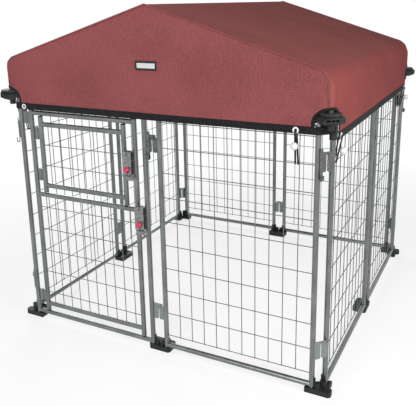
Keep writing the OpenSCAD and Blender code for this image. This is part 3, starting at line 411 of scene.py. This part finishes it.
# sweeps a closed section along a path; sideways gives the section's first axis at each point
def sweep(shell, path, sideways, section, closed=False):
    rows, uvRows, run = [], [], 0.0
    count = len(path)
    for i, p in enumerate(path):
        before = path[i - 1] if (i or closed) else p
        after = path[(i + 1) % count] if (i < count - 1 or closed) else p
        along = (after - before).normalized()
        first = sideways[i] - along * sideways[i].dot(along)
        first.normalize()
        second = along.cross(first)
        rows.append([p + first * u + second * v for u, v in section])
        if i:
            run += (p - path[i - 1]).length
        girth, uvRow = 0.0, []
        for k, s in enumerate(section):
            if k:
                girth += math.dist(s, section[k - 1])
            uvRow.append((girth, run))
        uvRows.append(uvRow)
    if closed:
        rows.append(rows[0])
        uvRows.append([(g, run + (path[0] - path[-1]).length) for g, _ in uvRows[0]])
    start = shell.grid(rows, uvRows, closeAcross=True)
    if not closed:
        shell.cap(start, len(section), True)
        shell.cap(start + (count - 1) * len(section), len(section))


def roundSection(a, b, steps):
    angles = [2 * math.pi * k / steps for k in range(steps)]
    return [(a * math.cos(t), b * math.sin(t)) for t in angles]


# canopy: one cloth over the ridge, down both sides and across both gables, an arch cut out at each corner;
# folds are given as stretches for the noise and its size, eases as how fast a fold or a sag fades in
canopy = {
    "half": 0.661, "sideLow": 0.890, "gableLow": 0.914, "eave": 1.099, "round": 0.065, "ridge": 1.307,
    "slope": math.radians(17.47), "thick": 0.0012,
    "archHalf": 0.045, "archTop": 0.994, "cornerRound": 0.022,
    "skirtRows": 6, "wallRows": 24, "arcRows": 14, "slopeRows": 44, "lengthRows": 84, "cornerRows": 12,
    "sag": 0.005, "sagLean": 0.8, "eaveSag": 0.004, "eaveFade": 3, "wallShare": 0.6,
    "crease": 0.0016, "endEase": 4, "ridgeEase": 5,
    "slopeFold": {"x": 2.2, "y": 0.6, "at": 3.1, "size": 0.16}, "wallFold": {"y": 1.6, "size": 0.2},
    "belly": 0.0042, "gableCrease": 0.0024, "hemEase": 5, "sideEase": 6,
    "gableFold": {"x": 1.3, "lean": 0.35, "at": 7.7, "z": 0.5, "fan": 0.2, "size": 0.14},
    "archFold": 0.0026, "foldStart": 0.010, "foldReach": 0.06, "foldCount": 7,
    "tiny": 1e-6, "weld": 2e-5,
}
canopy["archMid"] = canopy["archTop"] - canopy["archHalf"]
canopy["archReach"] = canopy["archHalf"] * math.sqrt(2)          # along each wall from the corner
canopy["arcZ"] = canopy["eave"] - canopy["round"] * math.tan((math.pi / 2 - canopy["slope"]) / 2)


# the cloth's line across the pen from eave to eave: x, z, outward x, outward z, kind, share
def canopyCrown(c):
    arcX = c["half"] - c["round"]
    turn = math.pi / 2 - c["slope"]
    points = []
    for k in range(c["arcRows"]):
        s = k / c["arcRows"]
        outX, outZ = math.cos(s * turn), math.sin(s * turn)
        points.append((arcX + c["round"] * outX, c["arcZ"] + c["round"] * outZ, outX, outZ, "arc", s))
    outX, outZ = math.cos(turn), math.sin(turn)
    topX, topZ = arcX + c["round"] * outX, c["arcZ"] + c["round"] * outZ
    split = 1 - (c["half"] - c["archReach"]) / topX           # a row ends where the arch's foot is
    rows = c["slopeRows"]
    shares = [0, split / 2] + [split + (1 - split) * k / rows for k in range(rows + 1)]
    for s in shares:
        points.append((topX * (1 - s), topZ + s * (c["ridge"] - topZ), outX, outZ, "slope", s))
    left = [(-x, z, -nx, nz, kind, s) for x, z, nx, nz, kind, s in points[:-1]]
    return left + points[::-1]


crown = canopyCrown(canopy)


# turns the square upright corner of the cloth into a small arc
def roundedCorner(c, p):
    inner = c["half"] - c["cornerRound"]
    dx, dy = abs(p.x) - inner, abs(p.y) - inner
    if dx <= 0 or dy <= 0:
        return p
    far = max(dx, dy)
    turn = math.pi / 4 * min(dx, dy) / far
    nx, ny = (math.cos(turn), math.sin(turn)) if dx >= dy else (math.sin(turn), math.cos(turn))
    return Vector((math.copysign(inner + far * nx, p.x), math.copysign(inner + far * ny, p.y), p.z))


def archEdge(c, fromCorner):
    q = min(fromCorner, c["archReach"]) / math.sqrt(2)
    return c["archMid"] + math.sqrt(max(0.0, c["archHalf"] ** 2 - q * q))


def wave(x, y, z, size):
    return noise.noise(Vector((x / size, y / size, z / size)))


# how far the roof and the side walls hang in between the bows
def hang(c, kind, share, y, x, z):
    mid = max(0.0, 1 - (y / c["half"]) ** 2)
    ease = min(1.0, mid * c["endEase"])
    if kind == "slope":
        f = c["slopeFold"]
        deep = c["sag"] * mid * math.sin(math.pi * (1 - share) ** c["sagLean"])
        edge = c["eaveSag"] * mid * (1 - share) ** c["eaveFade"]
        fade = ease * min(1, c["ridgeEase"] * (1 - share))
        return deep + edge + c["crease"] * fade * wave(x * f["x"], y * f["y"], f["at"], f["size"])
    if kind == "arc":
        sagged, level = c["wallShare"] + (1 - c["wallShare"]) * share, 1.0
    else:
        level = min(1.0, max(0.0, (z - c["archTop"]) / (c["arcZ"] - c["archTop"])))
        sagged = c["wallShare"] * level
    fold = wave(x, y * c["wallFold"]["y"], z, c["wallFold"]["size"])
    return c["eaveSag"] * mid * sagged + c["crease"] * level * ease * fold


# folds that fan out from the arch in the corner, none at its binding or at the hem
def archFolds(c, x, z):
    across = (c["half"] - abs(x)) / math.sqrt(2)
    rise = z - c["archMid"]
    off = math.hypot(across, rise) - c["archHalf"] - c["foldStart"]
    if off <= 0:
        return 0.0
    rim = min(1.0, off / c["foldStart"]) * min(1.0, across / c["foldStart"])
    fan = math.sin(c["foldCount"] * math.atan2(rise, across))
    return c["archFold"] * rim * math.exp(-off / c["foldReach"]) * fan


# how far a gable bellies out
def bulge(c, x, z, top):
    f = c["gableFold"]
    across = max(0.0, 1 - (x / c["half"]) ** 2)
    up = (z - c["gableLow"]) / max(c["tiny"], top - c["gableLow"])
    body = math.sin(math.pi * min(1, max(0, up)))
    fold = wave(x * f["x"] + f["lean"] * z, f["at"], z * f["z"] - f["fan"] * abs(x), f["size"])
    crease = c["gableCrease"] * body * min(1, c["sideEase"] * across) * fold
    corner = archFolds(c, x, z) * min(1, c["hemEase"] * max(0, up))
    return c["belly"] * across * body + crease + corner


# heights of one column of the cloth, from the hem or the arch's edge up to the top
def wallHeights(c, fromCorner, low, top, rows):
    foot = archEdge(c, fromCorner)
    wall = [foot + (top - foot) * k / c["wallRows"] for k in range(rows)]
    if low is None:
        return wall
    return [low + (c["archMid"] - low) * k / c["skirtRows"] for k in range(c["skirtRows"])] + wall


def addColumns(shell, columns, flip=False):
    shell.grid([[p for p, _ in col] for col in columns], [[uv for _, uv in col] for col in columns], flip)


def roofColumn(c, y, low, girth):
    wall = wallHeights(c, c["half"] - abs(y), low, c["arcZ"], c["wallRows"])
    column = [(-c["half"], z, -1, 0, "side", 0, z - c["arcZ"]) for z in wall]
    column += [p + (girth[i],) for i, p in enumerate(crown)]
    column += [(c["half"], z, 1, 0, "side", 0, girth[-1] + c["arcZ"] - z) for z in wall[::-1]]
    placed = []
    for x, z, nx, nz, kind, s, run in column:
        d = hang(c, kind, s, y, x, z)
        placed.append((Vector((x - nx * d, y, z - nz * d)), (y, run)))
    return placed


def gableColumn(c, x, end, low, top):
    wall = wallHeights(c, c["half"] - abs(x), low, top, c["wallRows"] + 1)
    return [(Vector((x, end * (c["half"] + bulge(c, x * end, z, top)), z)), (x, z)) for z in wall]


def buildCanopy(c):
    shell = Shell()
    mainEdge = c["half"] - c["archReach"]
    corner = [c["half"] - c["archReach"] * k / c["cornerRows"] for k in range(c["cornerRows"] + 1)]
    middle = [mainEdge * (2 * k / c["lengthRows"] - 1) for k in range(c["lengthRows"] + 1)]
    girth = [0.0]
    for i in range(1, len(crown)):
        girth.append(girth[-1] + math.dist(crown[i][:2], crown[i - 1][:2]))
    for strip, low in (([-y for y in corner], None), (middle, c["sideLow"]), (corner[::-1], None)):
        addColumns(shell, [roofColumn(c, y, low, girth) for y in strip])
    left = [p for p in crown if p[0] <= c["tiny"] - mainEdge]
    main = [p for p in crown if abs(p[0]) <= mainEdge + c["tiny"]]
    right = [p for p in crown if p[0] >= mainEdge - c["tiny"]]
    for end in (-1, 1):
        for strip, low in ((left, None), (main, c["gableLow"]), (right, None)):
            addColumns(shell, [gableColumn(c, p[0], end, low, p[1]) for p in strip], end < 0)
    shell.verts = [roundedCorner(c, v) for v in shell.verts]
    sheet = shell.make("canopySheet", finishes["canopy_fabric"])
    b = bmesh.new()
    b.from_mesh(sheet.data)
    bmesh.ops.remove_doubles(b, verts=b.verts, dist=c["weld"])
    bmesh.ops.recalc_face_normals(b, faces=b.faces)
    print("cloth edges left open:", sum(1 for e in b.edges if e.is_boundary), "of", len(b.edges))
    b.to_mesh(sheet.data)
    b.free()
    return sheet


canopySheet = buildCanopy(canopy)
thicken = canopySheet.modifiers.new("thickness", "SOLIDIFY")
thicken.thickness = canopy["thick"]
thicken.offset = -1
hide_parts("canopy_roof", "canopy_front_gable", "canopy_back_gable")
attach(canopySheet, "pen")
print("canopy cloth:", len(canopySheet.data.polygons), "faces")

# hem tape round the canopy and the bindings of the corner arches
hem = {
    "gableLow": 0.912, "sideLow": 0.888, "tall": 0.025, "thick": 0.0028, "edgeSteps": 8, "proud": 0.0004,
    "steps": 90, "dip": 0.0012, "dipWave": {"along": 2.0, "wall": 3.3, "at": 0.4, "size": 0.5},
    "cornerCut": 0.045, "cutShare": 0.90, "bend": 0.012, "bendSteps": 8, "tailSteps": 6,
    "binding": 0.0052, "bindingThick": 0.0018, "bindingPoints": 14, "bindingOver": 0.3, "archSteps": 48,
}


def tapeSection(h):
    r = h["thick"] / 2
    points = []
    for side in (1, -1):
        for k in range(h["edgeSteps"] + 1):
            a = math.pi * k / h["edgeSteps"]
            points.append((side * (h["tall"] / 2 - r + r * math.sin(a)), side * r * math.cos(a)))
    return points


# the gable tapes are drawn across the corners in front of the posts, as far as the bracket's sleeve
def cornerTail(c, h):
    wall = c["half"] + h["proud"]
    start = Vector((wall - h["cornerCut"], -wall, 0))
    along = Vector((1, 1, 0)).normalized()
    reach = h["cornerCut"] * math.sqrt(2) * h["cutShare"]
    before, after = start - Vector((h["bend"], 0, 0)), start + along * h["bend"]
    points = []
    for k in range(h["bendSteps"] + 1):
        a = k / h["bendSteps"]
        points.append(before * (1 - a) ** 2 + start * 2 * a * (1 - a) + after * a ** 2)
    for k in range(1, h["tailSteps"] + 1):
        points.append(start + along * (h["bend"] + (reach - h["bend"]) * k / h["tailSteps"]))
    return points


def addTapes(shell, c, h):
    tail = cornerTail(c, h)
    section = tapeSection(h)
    w = h["dipWave"]
    for turn in range(4):
        spin = Matrix.Rotation(turn * math.pi / 2, 3, "Z")
        onGable = turn % 2 == 0
        low = h["gableLow"] if onGable else h["sideLow"]
        end = tail[0].x if onGable else c["half"] - c["archReach"]
        across = [end * (2 * k / h["steps"] - 1) for k in range(h["steps"] + 1)]
        plan = [Vector((x, -c["half"] - h["proud"], 0)) for x in across]
        if onGable:
            plan = [Vector((-q.x, q.y, 0)) for q in reversed(tail[1:])] + plan + tail[1:]
        path = []
        for q in plan:
            dip = h["dip"] * wave(q.x / end * w["along"], turn * w["wall"], w["at"], w["size"])
            path.append(spin @ Vector((q.x, q.y, low + h["tall"] / 2 + dip)))
        sweep(shell, path, [Vector((0, 0, 1))] * len(path), section)


def addBindings(shell, c, h):
    ring = [(v, u) for u, v in roundSection(h["binding"], h["bindingThick"], h["bindingPoints"])]
    wide = c["archHalf"] + h["binding"] * h["bindingOver"]
    angles = [math.pi * k / h["archSteps"] for k in range(h["archSteps"] + 1)]
    arch = [(-wide * math.cos(a), c["archMid"] + wide * math.sin(a)) for a in angles]
    line = [(-wide, h["gableLow"])] + arch + [(wide, h["sideLow"])]
    for sx in (-1, 1):
        for sy in (-1, 1):
            path, outs = [], []
            for q, z in line:
                u = abs(q) * math.sqrt(2)
                turn = math.pi / 4 * max(0.0, 1 - u / c["cornerRound"])
                if q < 0:
                    place = Vector((sx * (c["half"] - u), sy * c["half"], z))
                    outs.append(Vector((sx * math.sin(turn), sy * math.cos(turn), 0)))
                else:
                    place = Vector((sx * c["half"], sy * (c["half"] - u), z))
                    outs.append(Vector((sx * math.cos(turn), sy * math.sin(turn), 0)))
                path.append(roundedCorner(c, place))
            sweep(shell, path, outs, ring)


def buildHem(c, h):
    shell = Shell()
    addTapes(shell, c, h)
    addBindings(shell, c, h)
    return shell.make("canopyHem", finishes["black_webbing"])


canopyHem = buildHem(canopy, hem)
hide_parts("canopy_hem")
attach(canopyHem, "pen")
print("hem tape made")

# piping along the gable edges, set in from the wall below the eave
piping = {"across": 0.0027, "points": 12, "low": 1.003, "inset": 0.016, "proud": 0.0004}


def buildPiping(c, p):
    shell = Shell()
    ring = roundSection(p["across"], p["across"], p["points"])
    leftFoot, rightFoot = ((s * c["half"], p["low"], s, 0, "side", 0) for s in (-1, 1))
    for end in (-1, 1):
        path = []
        for x, z, nx, nz, kind, share in [leftFoot] + crown + [rightFoot]:
            inset = p["inset"] * {"side": 1, "arc": 1 - share, "slope": 0}[kind]
            out = p["proud"] - inset
            spot = Vector((x + nx * out, end * (c["half"] + p["proud"]), z + nz * out))
            path.append(roundedCorner(c, spot))
        sweep(shell, path, [Vector((0, end, 0))] * len(path), ring)
    return shell.make("gablePiping", finishes["canopy_fabric"])


gablePiping = buildPiping(canopy, piping)
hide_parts("gable_piping")
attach(gablePiping, "pen")
print("piping made")

# bare woven label sewn on the front gable: a pale field in a black border;
# levels are the sizes of its rings and their shares of the thickness
label = {
    "wide": 0.088, "tall": 0.033, "low": 1.086, "thick": 0.0010, "proud": 0.0012,
    "corner": 0.003, "cornerSteps": 6, "border": 0.0078,
    "levels": ((1.0, 0.0), (1.0, 0.7), (0.985, 1.0), (0.86, 1.0), (0.84, 0.6)),
    "threads": (700, 3, 0.7), "steps": (0.3, 0.7), "rough": 0.8, "bump": (0.4, 0.0005),
    "pale": ((0.66, 0.66, 0.64), (0.80, 0.80, 0.78)),
    "black": ((0.010, 0.009, 0.009), (0.028, 0.026, 0.026)),
}


def labelCloth(name, p):
    mat, tree, shader = newMaterial(name)
    uv = clothSpace(tree)
    inside = []
    for axis, middle, half in (("X", 0, p["wide"] / 2), ("Y", p["low"] + p["tall"] / 2, p["tall"] / 2)):
        inside.append(maths(tree, "COMPARE", apart(tree, uv, axis), middle, half - p["border"]))
    threads = grainy(tree, uv, *p["threads"])
    black = ramp(tree, threads, list(zip(p["steps"], p["black"])))
    pale = ramp(tree, threads, list(zip(p["steps"], p["pale"])))
    dress(tree, shader, {
        "Base Color": mixed(tree, maths(tree, "MULTIPLY", *inside), black, pale),
        "Roughness": p["rough"],
        "Normal": bumped(tree, threads, *p["bump"]),
    })
    return mat


def buildLabel(c, p):
    shell = Shell()
    halfWide, halfTall, r = p["wide"] / 2, p["tall"] / 2, p["corner"]
    middle = p["low"] + halfTall
    border = []
    for quarter, (sx, sz) in enumerate(((1, 1), (-1, 1), (-1, -1), (1, -1))):
        for k in range(p["cornerSteps"] + 1):
            a = math.pi / 2 * (quarter + k / p["cornerSteps"])
            border.append((sx * (halfWide - r) + r * math.cos(a), sz * (halfTall - r) + r * math.sin(a)))
    rings = []
    for size, share in p["levels"]:
        ring = []
        for x, z in border:
            belly = bulge(c, -x, middle + z, c["ridge"] - abs(x) * math.tan(c["slope"]))
            out = c["half"] + p["proud"] + share * p["thick"] + belly
            ring.append(Vector((x * size, -out, middle + z * size)))
        rings.append(ring)
    start = shell.grid(rings, [[(v.x, v.z) for v in ring] for ring in rings], closeAcross=True)
    shell.cap(start + (len(rings) - 1) * len(border), len(border))
    shell.cap(start, len(border), True)
    return shell.make("labelPatch", labelCloth("labelCloth", p), False)


labelPatch = buildLabel(canopy, label)
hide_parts("label_patch")
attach(labelPatch, "pen")
print("label sewn on")

# raised tops of the corner brackets, under the arches, with a shallow dish in the middle
tops = {
    "corner": 0.647, "out": 0.004, "long": 0.038, "wide": 0.031,
    "low": 0.9730, "side": 0.9790, "top": 0.9848, "square": 2.6, "points": 56, "steps": 6,
    "roundIn": 0.14, "dish": 0.0008, "dishSize": 0.80,
}


def squaredRound(p, size):
    power = 2 / p["square"]
    for k in range(p["points"]):
        a = 2 * math.pi * k / p["points"]
        ca, sa = math.cos(a), math.sin(a)
        yield (math.copysign(abs(ca) ** power, ca) * p["long"] * size,
               math.copysign(abs(sa) ** power, sa) * p["wide"] * size)


def buildTops(p):
    shell = Shell()
    levels = [(p["low"], 1.0)]
    for k in range(p["steps"] + 1):
        a = math.pi / 2 * k / p["steps"]
        height = p["side"] + (p["top"] - p["side"]) * math.sin(a)
        levels.append((height, 1 - p["roundIn"] * (1 - math.cos(a))))
    levels.append((p["top"] - p["dish"], p["dishSize"]))
    for sx in (-1, 1):
        for sy in (-1, 1):
            out = Vector((sx, sy, 0)).normalized()
            along = Vector((-sy, sx, 0)).normalized()
            middle = Vector((sx * p["corner"], sy * p["corner"], 0)) + out * p["out"]
            rows = []
            for z, size in levels:
                at = middle + Vector((0, 0, z))
                rows.append([at + out * n + along * t for n, t in squaredRound(p, size)])
            start = shell.grid(rows, [[(v.x, v.y) for v in row] for row in rows], closeAcross=True)
            shell.cap(start, p["points"], True)
            shell.cap(start + (len(levels) - 1) * p["points"], p["points"])
    return shell.make("bracketTops", finishes["black_plastic"])


bracketTops = buildTops(tops)
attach(bracketTops, "pen")
print("bracket tops made")

# elastic ties: two loops side by side round a cross wire and round the hem at its grommet
ties = {
    "wireY": 0.647, "wireZ": 0.812, "lowR": 0.00345, "topR": 0.00565, "topY": 0.66125,
    "cord": 0.0018, "cordPoints": 10, "pair": 0.0043, "spread": 0.0028,
    "x": 0.576, "frontX": 0.542, "frontZ": 0.923, "sideZ": 0.899, "bend": 14, "straight": 20,
}


def tieSpots(t):
    spots = [(0, t["frontX"], t["frontZ"])]
    spots += [(2, s * t["x"], t["frontZ"]) for s in (-1, 1)]
    spots += [(k, s * t["x"], t["sideZ"]) for k in (1, 3) for s in (-1, 1)]
    return spots


def tiePath(t, grommetZ):
    low = Vector((0, -t["wireY"], t["wireZ"]))
    top = Vector((0, -t["topY"], grommetZ - t["topR"]))
    long = (top - low).length
    up = (top - low) / long
    out = Vector((0, -up.z, up.y))                      # away from the pen
    lean = math.asin((t["topR"] - t["lowR"]) / long)

    def arc(middle, radius, start, turn):
        angles = [start + turn * k / t["bend"] for k in range(t["bend"] + 1)]
        return [middle + out * radius * math.cos(a) + up * radius * math.sin(a) for a in angles]

    def straight(a, b):
        return [a.lerp(b, k / t["straight"]) for k in range(1, t["straight"])]

    over = arc(top, t["topR"], -lean, math.pi + 2 * lean)
    under = arc(low, t["lowR"], math.pi + lean, math.pi - 2 * lean)
    return over + straight(over[-1], under[0]) + under + straight(under[-1], over[0])


def buildTies(t):
    shell = Shell()
    section = roundSection(t["cord"], t["cord"], t["cordPoints"])
    total = []
    for turn, x, z in tieSpots(t):
        spin = Matrix.Rotation(turn * math.pi / 2, 3, "Z")
        for s in (-1, 1):
            loop = []
            for p in tiePath(t, z):
                low = max(0.0, (z - p.z) / (z - t["wireZ"]))
                loop.append(spin @ (p + Vector((x + s * (t["pair"] / 2 + t["spread"] * low), 0, 0))))
            sweep(shell, loop, [spin @ Vector((1, 0, 0))] * len(loop), section, closed=True)
            total.append(sum((loop[i] - loop[i - 1]).length for i in range(len(loop))))
    print("tie loops, length each (m):", sorted({round(v, 3) for v in total}))
    return shell.make("tieCords", finishes["elastic_cord"])


tieCords = buildTies(ties)
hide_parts("tie_cords")
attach(tieCords, "pen")

print("cloth pieces made")

# pale floor that keeps the shadow, and soft studio light; sky is the level at the horizon and overhead
studio = {
    "size": 40, "drop": 0.0002, "paper": [(0.3, grey(0.86)), (0.7, grey(0.88))], "grain": (5, 2),
    "rough": 0.95, "seenPaper": 0.42, "glow": 0.71, "clears": (1.1, 2.6), "sky": (0.22, 0.02),
}
lamps = {
    "keyLight": {"place": (0.6, -3.7, 2.2), "target": (0, 0, 0.7), "size": (3.0, 2.4), "watts": 88},
    "fillLight": {"place": (2.25, -0.85, 1.62), "target": (0, 0, 0.9), "size": (1.0, 1.0), "watts": 24,
                  "tint": (1, 0.96, 0.92)},
    "backLight": {"place": (-2.7, 2.7, 1.9), "target": (0, 0, 0.8), "size": (1.8, 1.8), "watts": 64},
}


# one for the rays that should meet a white studio: the camera's, and those of metal and glass
def seenRays(tree):
    path = tree.nodes.new("ShaderNodeLightPath")
    seen = path.outputs["Is Camera Ray"]
    for name in ("Is Glossy Ray", "Is Transmission Ray"):
        seen = maths(tree, "MAXIMUM", seen, path.outputs[name])
    return seen


# paper that glows a little where it is seen, less near the part, so that the shadow stays
def makeFloor(s):
    bpy.ops.mesh.primitive_plane_add(size=s["size"], location=(0, 0, -s["drop"]))
    floor = bpy.context.object
    floor.name = "studioFloor"
    mat, tree, shader = newMaterial("floorPaper")
    seen = seenRays(tree)
    space = objectSpace(tree)
    away = put(tree, "ShaderNodeVectorMath", operation="LENGTH", Vector=space).outputs["Value"]
    paper = ramp(tree, grainy(tree, space, *s["grain"]), s["paper"])
    dress(tree, shader, {
        "Base Color": mixed(tree, seen, paper, between(tree, away, s["clears"], (s["seenPaper"], 0))),
        "Roughness": s["rough"],
        "Specular IOR Level": 0,
    })
    glow = maths(tree, "MULTIPLY", between(tree, away, s["clears"], (s["glow"], 1)), seen)
    shine = put(tree, "ShaderNodeEmission", Color=(1, 1, 1, 1), Strength=glow)
    both = tree.nodes.new("ShaderNodeAddShader")
    tree.links.new(shader.outputs["BSDF"], both.inputs[0])
    tree.links.new(shine.outputs["Emission"], both.inputs[1])
    out = next(n for n in tree.nodes if n.type == "OUTPUT_MATERIAL")
    tree.links.new(both.outputs["Shader"], out.inputs["Surface"])
    floor.data.materials.append(mat)
    return floor


# white where it is seen, otherwise dimmer overhead than at the horizon
def makeWorld(s):
    world = bpy.data.worlds.new("studioWorld")
    bpy.context.scene.world = world
    world.use_nodes = True
    tree = world.node_tree
    back = next(n for n in tree.nodes if n.type == "BACKGROUND")
    up = apart(tree, tree.nodes.new("ShaderNodeTexCoord").outputs["Generated"], "Z")
    sky = between(tree, up, (0, 1), s["sky"])
    dress(tree, back, {
        "Color": (1, 1, 1, 1),
        "Strength": mixed(tree, seenRays(tree), sky, 1.0, "FLOAT"),
    })


def areaLight(name, place, target, size, watts, tint=(1, 1, 1)):
    data = bpy.data.lights.new(name, "AREA")
    data.shape = "RECTANGLE"
    data.size, data.size_y = size
    data.energy = watts
    data.color = tint
    lamp = bpy.data.objects.new(name, data)
    bpy.context.scene.collection.objects.link(lamp)
    lamp.location = place
    lamp.rotation_euler = (Vector(target) - Vector(place)).to_track_quat("-Z", "Y").to_euler()


floor = makeFloor(studio)
makeWorld(studio)
for name, lamp in lamps.items():
    areaLight(name, **lamp)
print("studio lit")
